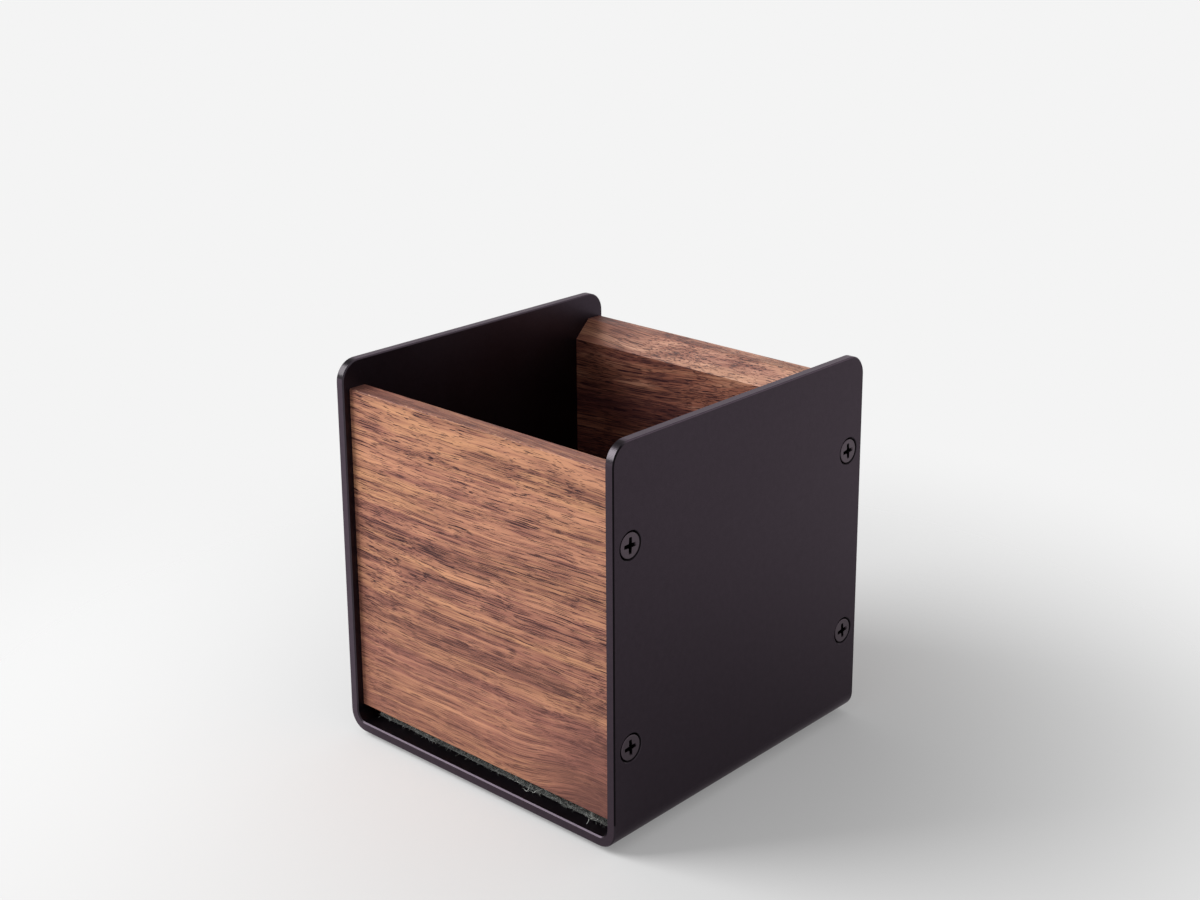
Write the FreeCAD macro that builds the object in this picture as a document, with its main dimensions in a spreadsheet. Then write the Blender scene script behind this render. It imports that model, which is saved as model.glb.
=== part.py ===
import FreeCAD, Part
import math
import os
import Sketcher

# Pen stand: one strip of sheet aluminium bent into a U, closed in front and behind by two
# walnut boards screwed through the walls, with a felt liner on the base and four rubber feet.
# The stand rests on z = 0, centred on the vertical axis; its front looks along -Y.

SIZES = {
    # the bent shell
    "shell_width": 90.0,
    "shell_depth": 90.0,
    "shell_height": 96.0,
    "sheet_thickness": 2.5,
    "inner_bend_radius": 2.5,
    "wall_corner_radius": 5.2,
    "edge_break": 0.3,
    # the two boards
    "board_thickness": 9.4,
    "board_top_drop": 6.8,
    "board_chamfer": 4.7,
    "board_arris": 0.35,
    "front_recess": 2.0,
    "back_recess": 0.8,
    # the felt liner
    "felt_thickness": 3.0,
    "felt_top_clearance": 0.5,
    "felt_side_clearance": 0.1,
    "felt_end_inset": 4.8,
    # the screws, and where they sit on each wall
    "screw_edge_distance": 5.4,
    "screw_low_height": 24.0,
    "screw_high_height": 72.0,
    "screw_sink": 0.1,
    "screw_length": 16.0,
    "head_diameter": 6.0,
    "head_rim": 0.55,
    "head_edge": 0.2,
    "shank_diameter": 2.4,
    "shank_end": 3.2,
    "core_diameter": 2.0,
    "thread_diameter": 3.0,
    "thread_pitch": 1.35,
    "thread_crest": 0.08,
    "tip_length": 3.0,
    "tip_flat": 0.2,
    # the cross recess in each head
    "recess_span": 3.85,
    "recess_floor_span": 2.4,
    "recess_arm": 0.85,
    "recess_floor_arm": 0.7,
    "recess_root": 1.05,
    "recess_floor_root": 0.85,
    "recess_depth": 1.5,
    # the holes for the screws
    "wall_hole_clearance": 0.4,
    "seat_relief": 0.2,
    "mouth_break": 0.1,
    "pilot_clearance": 0.1,
    "pilot_spare_depth": 1.0,
    # the feet
    "foot_diameter": 10.0,
    "foot_height": 1.2,
    "foot_chamfer": 0.35,
    "foot_inset": 12.0,
}

# How far each screw's recess is turned from upright when it is tight, in degrees.
SCREW_TURNS = {
    ("right", "front", "low"): 3.0,
    ("right", "front", "high"): -2.0,
    ("right", "back", "low"): 5.0,
    ("right", "back", "high"): 4.0,
    ("left", "front", "low"): -6.0,
    ("left", "front", "high"): 8.0,
    ("left", "back", "low"): 2.0,
    ("left", "back", "high"): -4.0,
}

SHARP_ANGLE = math.radians(30)
UPRIGHT = FreeCAD.Rotation()
TURNED_ROUND = FreeCAD.Rotation(FreeCAD.Vector(0, 0, 1), 180)

# Lengths that several pieces share, as expressions of the sheet's cells.
INSIDE_WIDTH = "(sizes.shell_width - 2 * sizes.sheet_thickness)"
OUTER_BEND_RADIUS = "(sizes.inner_bend_radius + sizes.sheet_thickness)"
BASE_TOP = "(sizes.foot_height + sizes.sheet_thickness)"
BOARD_LIFT = "(sizes.sheet_thickness + sizes.felt_thickness + sizes.felt_top_clearance)"
BOARD_HEIGHT = f"(sizes.shell_height - sizes.board_top_drop - {BOARD_LIFT})"
SCREW_FROM_CENTRE = "(sizes.shell_depth / 2 - sizes.screw_edge_distance)"
# The seat in the wall is the cone on which the head's own cone lies, below a short straight relief.
SEAT_DIAMETER = (
    "(sizes.head_diameter + 2 * (sizes.screw_sink + sizes.head_rim - sizes.seat_relief))"
)
PILOT_DEPTH = (
    "(sizes.screw_length + sizes.screw_sink - sizes.sheet_thickness + sizes.pilot_spare_depth)"
)

doc = FreeCAD.newDocument("pen_stand")


def make_sheet():
    """The spreadsheet that holds every driving dimension, one alias to a row."""
    sheet = doc.addObject("Spreadsheet::Sheet", "sizes")
    for row, (alias, size) in enumerate(SIZES.items(), start=1):
        sheet.set(f"A{row}", alias)
        sheet.set(f"B{row}", str(size))
        sheet.setAlias(f"B{row}", alias)
    doc.recompute()
    return sheet


def new_body(label):
    body = doc.addObject("PartDesign::Body", label)
    body.Label = label
    return body


def place(piece, x="0", y="0", z="0", rotation=UPRIGHT):
    """Puts a piece where three expressions say, turned by a fixed rotation."""
    piece.Placement = FreeCAD.Placement(FreeCAD.Vector(0, 0, 0), rotation)
    for axis, expression in zip("xyz", (x, y, z)):
        piece.setExpression(f"Placement.Base.{axis}", expression)


def origin_feature(body, role):
    return next(one for one in body.Origin.OriginFeatures if one.Role == role)


def new_sketch(body, name, role, offset="0"):
    """An empty sketch on one of the body's origin planes, or a distance in front of it."""
    sketch = body.newObject("Sketcher::SketchObject", name)
    sketch.AttachmentSupport = [(origin_feature(body, role), "")]
    sketch.MapMode = "FlatFace"
    sketch.setExpression("AttachmentOffset.Base.z", offset)
    return sketch


def pin_point(sketch, geometry, point, x, y):
    """Ties one point of a sketch to two expressions, measured from the sketch's origin."""
    for kind, expression in (("DistanceX", x), ("DistanceY", y)):
        start = float(sketch.evalExpression(expression))
        index = sketch.addConstraint(Sketcher.Constraint(kind, -1, 1, geometry, point, start))
        sketch.setExpression(f"Constraints[{index}]", expression)


def outline_sketch(body, name, role, corners, offset="0"):
    """A closed outline of straight lines through corners given as pairs of expressions."""
    sketch = new_sketch(body, name, role, offset)
    points = [
        FreeCAD.Vector(float(sketch.evalExpression(x)), float(sketch.evalExpression(y)), 0)
        for x, y in corners
    ]
    count = len(points)
    for index in range(count):
        line = Part.LineSegment(points[index], points[(index + 1) % count])
        sketch.addGeometry(line, False)
    for index in range(count):
        following = (index + 1) % count
        sketch.addConstraint(Sketcher.Constraint("Coincident", index, 2, following, 1))
    for index, (x, y) in enumerate(corners):
        pin_point(sketch, index, 1, x, y)
    return sketch


def circles_sketch(body, name, role, centres, diameter, offset):
    """Equal circles at centres given as pairs of expressions."""
    sketch = new_sketch(body, name, role, offset)
    radius = float(sketch.evalExpression(diameter)) / 2
    up = FreeCAD.Vector(0, 0, 1)
    for index, (x, y) in enumerate(centres):
        centre = FreeCAD.Vector(
            float(sketch.evalExpression(x)), float(sketch.evalExpression(y)), 0
        )
        sketch.addGeometry(Part.Circle(centre, up, radius), False)
        pin_point(sketch, index, 3, x, y)
        row = sketch.addConstraint(Sketcher.Constraint("Diameter", index, 2 * radius))
        sketch.setExpression(f"Constraints[{row}]", diameter)
    return sketch


def pad_evenly(body, name, sketch, length):
    """A pad that runs equally far to both sides of its sketch."""
    pad = body.newObject("PartDesign::Pad", name)
    pad.Profile = sketch
    pad.SideType = "Symmetric"
    pad.setExpression("Length", length)
    doc.recompute()
    return pad


def revolve(body, name, sketch):
    """One full turn of a sketch about its own vertical axis."""
    turned = body.newObject("PartDesign::Revolution", name)
    turned.Profile = sketch
    turned.ReferenceAxis = (sketch, ["V_Axis"])
    turned.Angle = 360
    doc.recompute()
    return turned


def mirror_across(body, name, feature, role):
    """The same feature again on the other side of one of the body's origin planes."""
    mirrored = body.newObject("PartDesign::Mirrored", name)
    mirrored.Originals = [feature]
    mirrored.MirrorPlane = (origin_feature(body, role), [""])
    body.Tip = mirrored
    doc.recompute()
    return mirrored


def edge_names(feature, wanted):
    """The names of the feature's edges for which wanted(shape, edge) is true."""
    shape = feature.Shape
    return [
        f"Edge{index}"
        for index, edge in enumerate(shape.Edges, start=1)
        if wanted(shape, edge)
    ]


def dress(body, kind, name, base, edges, property_name, expression):
    """A fillet or chamfer of the named edges of the base feature."""
    feature = body.newObject(f"PartDesign::{kind}", name)
    feature.Base = (base, edges)
    feature.setExpression(property_name, expression)
    doc.recompute()
    return feature


def is_sharp(shape, edge):
    """Whether the two faces that meet at the edge meet at an angle there."""
    faces = shape.ancestorsOfType(edge, Part.Face)
    if len(faces) != 2:
        return False
    middle = edge.valueAt((edge.FirstParameter + edge.LastParameter) / 2)
    normals = [face.normalAt(*face.Surface.parameter(middle)) for face in faces]
    return normals[0].getAngle(normals[1]) > SHARP_ANGLE


def runs_along(edge, axis):
    direction = edge.tangentAt(edge.FirstParameter)
    return isinstance(edge.Curve, Part.Line) and abs(direction.dot(axis)) > 0.999


def make_shell():
    """The U of sheet metal: a flat base, two walls, rounded free corners, broken edges."""
    body = new_body("shell")
    half, top, wall = "sizes.shell_width / 2", "sizes.shell_height", "sizes.sheet_thickness"
    inside = f"({half} - {wall})"
    corners = [
        (f"-{half}", "0"),
        (half, "0"),
        (half, top),
        (inside, top),
        (inside, wall),
        (f"-{inside}", wall),
        (f"-{inside}", top),
        (f"-{half}", top),
    ]
    sketch = outline_sketch(body, "shell_section", "XZ_Plane", corners)
    feature = pad_evenly(body, "shell_strip", sketch, "sizes.shell_depth")
    along_depth, across = FreeCAD.Vector(0, 1, 0), FreeCAD.Vector(1, 0, 0)
    thickness = float(body.evalExpression(wall))
    height = float(body.evalExpression(top))

    def is_outer_bend(shape, edge):
        return runs_along(edge, along_depth) and edge.CenterOfMass.z < thickness / 2

    def is_inner_bend(shape, edge):
        centre = edge.CenterOfMass.z
        return runs_along(edge, along_depth) and thickness / 2 < centre < height / 2

    def is_free_corner(shape, edge):
        return runs_along(edge, across) and edge.CenterOfMass.z > height / 2

    for name, wanted, radius in (
        ("outer_bends", is_outer_bend, OUTER_BEND_RADIUS),
        ("inner_bends", is_inner_bend, "sizes.inner_bend_radius"),
        ("free_corners", is_free_corner, "sizes.wall_corner_radius"),
    ):
        edges = edge_names(feature, wanted)
        feature = dress(body, "Fillet", name, feature, edges, "Radius", radius)
    edges = edge_names(feature, is_sharp)
    feature = dress(body, "Chamfer", "broken_edges", feature, edges, "Size", "sizes.edge_break")
    drill_walls(body)
    place(body, z="sizes.foot_height")
    return body


def drill_walls(body):
    """The countersunk screw holes, cut in the right wall and mirrored to the left one."""
    centres = [
        (f"{sign}{SCREW_FROM_CENTRE}", f"sizes.screw_{level}_height")
        for sign in ("-", "")
        for level in ("low", "high")
    ]
    bore = "sizes.thread_diameter + sizes.wall_hole_clearance"
    face = "sizes.shell_width / 2"
    sketch = circles_sketch(body, "screw_places", "YZ_Plane", centres, bore, face)
    doc.recompute()
    hole = body.newObject("PartDesign::Hole", "wall_holes")
    hole.Profile = sketch
    doc.recompute()
    hole.Threaded = False
    hole.DepthType = "Dimension"
    hole.DrillPoint = "Flat"
    hole.HoleCutType = "Counterdrill"
    hole.HoleCutCustomValues = True
    hole.HoleCutCountersinkAngle = 90
    hole.setExpression("Diameter", bore)
    hole.setExpression("Depth", "2 * sizes.sheet_thickness")
    hole.setExpression("HoleCutDiameter", SEAT_DIAMETER)
    hole.setExpression("HoleCutDepth", "sizes.seat_relief")
    doc.recompute()
    both = mirror_across(body, "left_wall_holes", hole, "YZ_Plane")
    half = float(body.evalExpression(face))

    def is_mouth(shape, edge):
        return edge.isClosed() and abs(abs(edge.CenterOfMass.x) - half) < 0.001

    mouths = edge_names(both, is_mouth)
    dress(body, "Chamfer", "broken_mouths", both, mouths, "Size", "sizes.mouth_break")


def make_board(label, recess, side, rotation):
    """A walnut board. Its own y runs from the outer face, at 0, into the cup."""
    body = new_body(label)
    thick, chamfer = "sizes.board_thickness", "sizes.board_chamfer"
    corners = [
        ("0", "0"),
        (thick, "0"),
        (thick, f"{BOARD_HEIGHT} - {chamfer}"),
        (f"{thick} - {chamfer}", BOARD_HEIGHT),
        ("0", BOARD_HEIGHT),
    ]
    sketch = outline_sketch(body, f"{label}_section", "YZ_Plane", corners)
    blank = pad_evenly(body, f"{label}_blank", sketch, INSIDE_WIDTH)
    across = FreeCAD.Vector(1, 0, 0)
    edges = edge_names(blank, lambda shape, edge: runs_along(edge, across))
    dress(body, "Fillet", f"{label}_arris", blank, edges, "Radius", "sizes.board_arris")
    drill_board(body, recess)
    outer_face = f"{side}(sizes.shell_depth / 2 - {recess})"
    place(body, y=outer_face, z=f"sizes.foot_height + {BOARD_LIFT}", rotation=rotation)
    return body


def drill_board(body, recess):
    """Pilot holes in the end grain, in line with the holes in the walls."""
    label = body.Label
    centres = [
        (f"sizes.screw_edge_distance - {recess}", f"sizes.screw_{level}_height - {BOARD_LIFT}")
        for level in ("low", "high")
    ]
    bore = "sizes.thread_diameter + sizes.pilot_clearance"
    end = f"{INSIDE_WIDTH} / 2"
    sketch = circles_sketch(body, f"{label}_pilots", "YZ_Plane", centres, bore, end)
    pocket = body.newObject("PartDesign::Pocket", f"{label}_pilot_holes")
    pocket.Profile = sketch
    pocket.setExpression("Length", PILOT_DEPTH)
    doc.recompute()
    mirror_across(body, f"{label}_left_pilot_holes", pocket, "YZ_Plane")


def make_felt():
    """The liner: it covers the flat of the base, from bend to bend, and goes under both boards."""
    felt = doc.addObject("Part::Box", "felt_liner")
    felt.Label = "felt_liner"
    width = f"({INSIDE_WIDTH} - 2 * (sizes.inner_bend_radius + sizes.felt_side_clearance))"
    depth = "(sizes.shell_depth - 2 * sizes.felt_end_inset)"
    felt.setExpression("Length", width)
    felt.setExpression("Width", depth)
    felt.setExpression("Height", "sizes.felt_thickness")
    place(felt, x=f"-{width} / 2", y=f"-{depth} / 2", z=BASE_TOP)
    return felt


def cross_corners(span, arm, root):
    """The corners of a cross: four arms, each wider at its root than at its end."""
    reach, narrow, wide = f"{span} / 2", f"{arm} / 2", f"{root} / 2"
    quarter = [(narrow, reach), (wide, wide), (reach, narrow)]
    corners = list(quarter)
    corners += [(x, f"-({y})") for x, y in reversed(quarter)]
    corners += [(f"-({x})", f"-({y})") for x, y in quarter]
    corners += [(f"-({x})", y) for x, y in reversed(quarter)]
    return corners


def make_screw(label):
    """A countersunk wood screw. Its axis is z: the head's flat is at 0 and the tip points down."""
    body = new_body(label)
    head, shank, core = (
        "sizes.head_diameter / 2",
        "sizes.shank_diameter / 2",
        "sizes.core_diameter / 2",
    )
    tip_start = "(sizes.tip_length - sizes.screw_length)"
    corners = [
        ("0", "0"),
        (head, "0"),
        (head, "-sizes.head_rim"),
        (shank, f"{shank} - {head} - sizes.head_rim"),
        (shank, "-sizes.shank_end"),
        (core, f"{core} - {shank} - sizes.shank_end"),
        (core, tip_start),
        ("sizes.tip_flat / 2", "-sizes.screw_length"),
        ("0", "-sizes.screw_length"),
    ]
    profile = outline_sketch(body, f"{label}_profile", "XZ_Plane", corners)
    blank = revolve(body, f"{label}_blank", profile)
    edges = edge_names(blank, lambda shape, edge: abs(edge.BoundBox.ZMin) < 0.001)
    dress(body, "Fillet", f"{label}_head_edge", blank, edges, "Radius", "sizes.head_edge")
    cut_thread(body, tip_start)
    sink_recess(body)
    return body


def cut_thread(body, tip_start):
    """The thread: one sharp ridge wound round the core, from the tip's cone to the shank."""
    label = body.Label
    root_half = "(sizes.thread_diameter - sizes.core_diameter) / 3.6"
    inside_core = "0.45 * sizes.core_diameter"
    middle = f"({tip_start} + {root_half})"
    corners = [
        (inside_core, f"{middle} - {root_half}"),
        ("sizes.thread_diameter / 2", f"{middle} - sizes.thread_crest / 2"),
        ("sizes.thread_diameter / 2", f"{middle} + sizes.thread_crest / 2"),
        (inside_core, f"{middle} + {root_half}"),
    ]
    ridge = outline_sketch(body, f"{label}_ridge", "XZ_Plane", corners)
    thread = body.newObject("PartDesign::AdditiveHelix", f"{label}_thread")
    thread.Profile = ridge
    thread.ReferenceAxis = (ridge, ["V_Axis"])
    thread.Mode = "pitch-height-angle"
    thread.setExpression("Pitch", "sizes.thread_pitch")
    thread.setExpression(
        "Height", f"-{tip_start} - 3 * {root_half} - sizes.shank_end"
    )
    doc.recompute()


def sink_recess(body):
    """The cross recess for the driver, narrowing towards its floor."""
    label = body.Label
    mouth = cross_corners("sizes.recess_span", "sizes.recess_arm", "sizes.recess_root")
    floor = cross_corners(
        "sizes.recess_floor_span", "sizes.recess_floor_arm", "sizes.recess_floor_root"
    )
    mouth_sketch = outline_sketch(body, f"{label}_mouth", "XY_Plane", mouth)
    floor_sketch = outline_sketch(
        body, f"{label}_floor", "XY_Plane", floor, "-sizes.recess_depth"
    )
    recess = body.newObject("PartDesign::SubtractiveLoft", f"{label}_recess")
    recess.Profile = mouth_sketch
    recess.Sections = [floor_sketch]
    recess.Ruled = True
    doc.recompute()


def make_screws():
    """The eight screws, each driven square through its wall with its head sunk in the seat."""
    screws = []
    for (side, end, level), turn in SCREW_TURNS.items():
        screw = make_screw(f"screw_{side}_{end}_{level}")
        sign = "" if side == "right" else "-"
        end_sign = "-" if end == "front" else ""
        lean = 90 if side == "right" else -90
        outward = FreeCAD.Rotation(FreeCAD.Vector(0, 1, 0), lean)
        about_axis = FreeCAD.Rotation(FreeCAD.Vector(0, 0, 1), turn)
        place(
            screw,
            x=f"{sign}(sizes.shell_width / 2 - sizes.screw_sink)",
            y=f"{end_sign}{SCREW_FROM_CENTRE}",
            z=f"sizes.foot_height + sizes.screw_{level}_height",
            rotation=outward.multiply(about_axis),
        )
        screws.append(screw)
    return screws


def make_foot(label, x_sign, y_sign):
    """A round rubber foot, stuck to the flat underside of the base."""
    body = new_body(label)
    radius = "sizes.foot_diameter / 2"
    corners = [
        ("0", "0"),
        (f"{radius} - sizes.foot_chamfer", "0"),
        (radius, "sizes.foot_chamfer"),
        (radius, "sizes.foot_height"),
        ("0", "sizes.foot_height"),
    ]
    revolve(body, f"{label}_disc", outline_sketch(body, f"{label}_profile", "XZ_Plane", corners))
    place(
        body,
        x=f"{x_sign}(sizes.shell_width / 2 - sizes.foot_inset)",
        y=f"{y_sign}(sizes.shell_depth / 2 - sizes.foot_inset)",
    )
    return body


def make_feet():
    return [
        make_foot(f"foot_{end}_{side}", x_sign, y_sign)
        for end, y_sign in (("front", "-"), ("back", ""))
        for side, x_sign in (("left", "-"), ("right", ""))
    ]


def check_document(pieces):
    """Stops if any object failed, or if a piece isn't one valid solid."""
    doc.recompute()
    for one in doc.Objects:
        if "Invalid" in one.State or "Error" in one.State:
            raise RuntimeError(f"{one.Label} failed: {one.State}")
    for piece in pieces:
        shape = piece.Shape
        if shape.isNull() or not shape.isValid() or len(shape.Solids) != 1:
            raise RuntimeError(f"{piece.Label} isn't one valid solid")


def export(pieces):
    os.makedirs("parts", exist_ok=True)
    for piece in pieces:
        piece.Shape.exportStep(f"parts/{piece.Label}.step")
        print(f"{piece.Label}: {piece.Shape.Volume:.1f} mm3, {piece.Shape.BoundBox}")


make_sheet()
pieces = [
    make_shell(),
    make_board("front_panel", "sizes.front_recess", "-", UPRIGHT),
    make_board("back_panel", "sizes.back_recess", "", TURNED_ROUND),
    make_felt(),
    *make_screws(),
    *make_feet(),
]
check_document(pieces)
export(pieces)
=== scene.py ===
"""Looks of a pen stand: a bent, black anodised shell, two walnut boards, felt, screws and feet."""

import logging
import math
import random
from collections.abc import Callable, Iterable
from dataclasses import dataclass, field
from enum import Enum
from functools import cached_property, partial, reduce

import bpy
from mathutils import Matrix, Vector, noise


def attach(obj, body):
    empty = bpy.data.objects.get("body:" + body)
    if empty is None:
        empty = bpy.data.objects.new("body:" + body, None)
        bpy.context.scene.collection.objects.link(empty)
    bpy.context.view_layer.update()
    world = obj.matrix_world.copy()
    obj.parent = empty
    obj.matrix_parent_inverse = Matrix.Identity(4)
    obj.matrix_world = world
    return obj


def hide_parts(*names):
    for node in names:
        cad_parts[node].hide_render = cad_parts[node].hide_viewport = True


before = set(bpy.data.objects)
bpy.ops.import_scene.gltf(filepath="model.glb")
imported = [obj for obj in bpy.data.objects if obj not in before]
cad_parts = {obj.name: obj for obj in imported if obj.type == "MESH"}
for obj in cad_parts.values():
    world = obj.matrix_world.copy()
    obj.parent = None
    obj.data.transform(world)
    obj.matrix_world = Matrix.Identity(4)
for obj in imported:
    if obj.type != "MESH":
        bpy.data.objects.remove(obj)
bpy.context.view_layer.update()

MM = 0.001
SEED = 11
BACKDROP = "F4F4F4"
LOG = logging.getLogger("pen_stand")

Colour = tuple[float, float, float, float]
Span = tuple[float, float]
Triple = tuple[float, float, float]
Rows = tuple[tuple[float, ...], ...]
Material = bpy.types.Material
Piece = bpy.types.Object
Node = bpy.types.Node
Socket = bpy.types.NodeSocket
Outputs = bpy.types.bpy_prop_collection
Value = Node | Socket | float | tuple

WHOLE: Span = (0.0, 1.0)
FALLING: Span = (1.0, 0.0)
# Where nearly all the values of a plain noise lie.
NOISE_SPAN: Span = (0.3, 0.7)
# The share of each axis in a direction at 45 degrees, and how far off it may be.
DIAGONAL: Span = (0.707, 0.18)


class Side(Enum):
    """The two ends of the cup that a board closes."""

    FRONT = "front"
    BACK = "back"


class Level(Enum):
    """The two heights at which a board is screwed to the walls."""

    LOW = "low"
    HIGH = "high"


class Wall(Enum):
    """The two walls of the shell."""

    LEFT = "left"
    RIGHT = "right"


def linear(hex_colour: str) -> Colour:
    """Turns an sRGB hex colour into the linear colour that shaders work in.

    Args:
        hex_colour: Six hex digits.

    Returns:
        Linear red, green and blue, and an alpha of 1.
    """
    channels = [int(hex_colour[start:start + 2], 16) / 255 for start in (0, 2, 4)]
    red, green, blue = (
        value / 12.92 if value <= 0.04045 else ((value + 0.055) / 1.055) ** 2.4
        for value in channels
    )
    return red, green, blue, 1.0


def metres(*lengths: float) -> tuple[float, ...]:
    """Turns lengths in millimetres into metres."""
    return tuple(length * MM for length in lengths)


def clamp(value: float, low: float, high: float) -> float:
    """Keeps a value between two limits."""
    return max(low, min(high, value))


@dataclass(eq=False)
class Nodes:
    """A node tree that is being filled, with the places and directions that its patterns read."""

    tree: bpy.types.NodeTree

    def __post_init__(self) -> None:
        """Empties the tree."""
        self.tree.nodes.clear()

    def add(
        self, kind: str, *values: Value, sockets: dict[str, Value] | None = None, **settings: object
    ) -> Node:
        """Adds one node, sets it up and joins it to the nodes before it.

        Args:
            kind: The node's type without its ShaderNode, such as Mix.
            values: What its live sockets get, in order: a number, a vector, an output, or a
                node, which stands for its first live output.
            sockets: What other sockets get, by name.
            settings: The node's properties.

        Returns:
            The new node.
        """
        node = self.tree.nodes.new(f"ShaderNode{kind}")
        for name, setting in settings.items():
            setattr(node, name, setting)
        wiring = list(zip([socket for socket in node.inputs if socket.enabled], values))
        wiring += [(node.inputs[name], value) for name, value in (sockets or {}).items()]
        for socket, value in wiring:
            if isinstance(value, Node):
                value = next(output for output in value.outputs if output.enabled)
            if isinstance(value, Socket):
                self.tree.links.new(value, socket)
            else:
                socket.default_value = value
        return node

    def fold(self, operation: str, values: Iterable[Node | Socket]) -> Node:
        """Joins many values two at a time, as a long sum or product does."""
        return reduce(lambda one, other: self.add("Math", one, other, operation=operation), values)

    @cached_property
    def coordinates(self) -> Outputs:
        """What is known of each point of the piece."""
        return self.add("TexCoord").outputs

    @property
    def place(self) -> Socket:
        """Where a point lies, in the piece's own axes."""
        return self.coordinates["Object"]

    @cached_property
    def spot(self) -> Outputs:
        """The X, Y and Z of the place."""
        return self.add("SeparateXYZ", self.place).outputs

    @cached_property
    def slope(self) -> Outputs:
        """The X, Y and Z of the direction in which the surface faces."""
        return self.add("SeparateXYZ", self.coordinates["Normal"]).outputs

    @property
    def seen(self) -> Node:
        """Tells the rays that show the backdrop from those that only light the object.

        Returns:
            A node that gives 1 for the camera's, glossy and transmitted rays, and 0 for others.
        """
        rays = self.add("LightPath").outputs
        kinds = ("Is Camera Ray", "Is Glossy Ray", "Is Transmission Ray")
        return self.fold("MAXIMUM", (rays[kind] for kind in kinds))


def set_stops(ramp: Node, stops: Iterable[tuple[float, str]]) -> None:
    """Sets the stops of a colour ramp.

    Args:
        ramp: The colour ramp's node.
        stops: Where each colour lies, between 0 and 1, and the colour.
    """
    elements = ramp.color_ramp.elements
    for spot, shade in stops:
        elements.new(spot).color = linear(shade)
    for end in (elements[-1], elements[0]):
        elements.remove(end)


def dress(piece: Piece, material: Material) -> None:
    """Gives a piece one material in its only slot.

    Args:
        piece: The object to dress.
        material: The material that it gets.
    """
    if not piece.material_slots:
        piece.data.materials.append(material)
    for slot in piece.material_slots:
        slot.material = material


def new_object(name: str, data: bpy.types.ID) -> Piece:
    """Adds an object to the scene, at the origin.

    Args:
        name: The object's name.
        data: Its mesh, lamp or camera.

    Returns:
        The new object.
    """
    piece = bpy.data.objects.new(name, data)
    bpy.context.scene.collection.objects.link(piece)
    return piece


def new_mesh(name: str, spots: list[Vector], faces: list[tuple], material: Material) -> Piece:
    """Adds a dressed mesh to the scene, at the origin.

    Args:
        name: The object's and the mesh's name.
        spots: The mesh's points, in metres.
        faces: The points of each face.
        material: The material that it gets.

    Returns:
        The new object.
    """
    mesh = bpy.data.meshes.new(name)
    mesh.from_pydata(spots, [], faces)
    mesh.update()
    piece = new_object(name, mesh)
    dress(piece, material)
    return piece


@dataclass(frozen=True)
class Finish:
    """A finish: a node material, made once, with the patterns of its kind."""

    name: str

    @cached_property
    def blank(self) -> Material:
        """Makes the material, to which its shader is joined later.

        Returns:
            The material, with its nodes switched on.
        """
        material = bpy.data.materials.new(self.name)
        material.use_nodes = True
        return material

    @cached_property
    def nodes(self) -> Nodes:
        """The material's nodes."""
        return Nodes(self.blank.node_tree)

    def shader(self) -> Node:
        """Each kind of finish makes its own shader."""
        raise NotImplementedError

    def material(self) -> Material:
        """Builds the finish and gives its material."""
        self.nodes.add("OutputMaterial", self.shader())
        return self.blank


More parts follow.
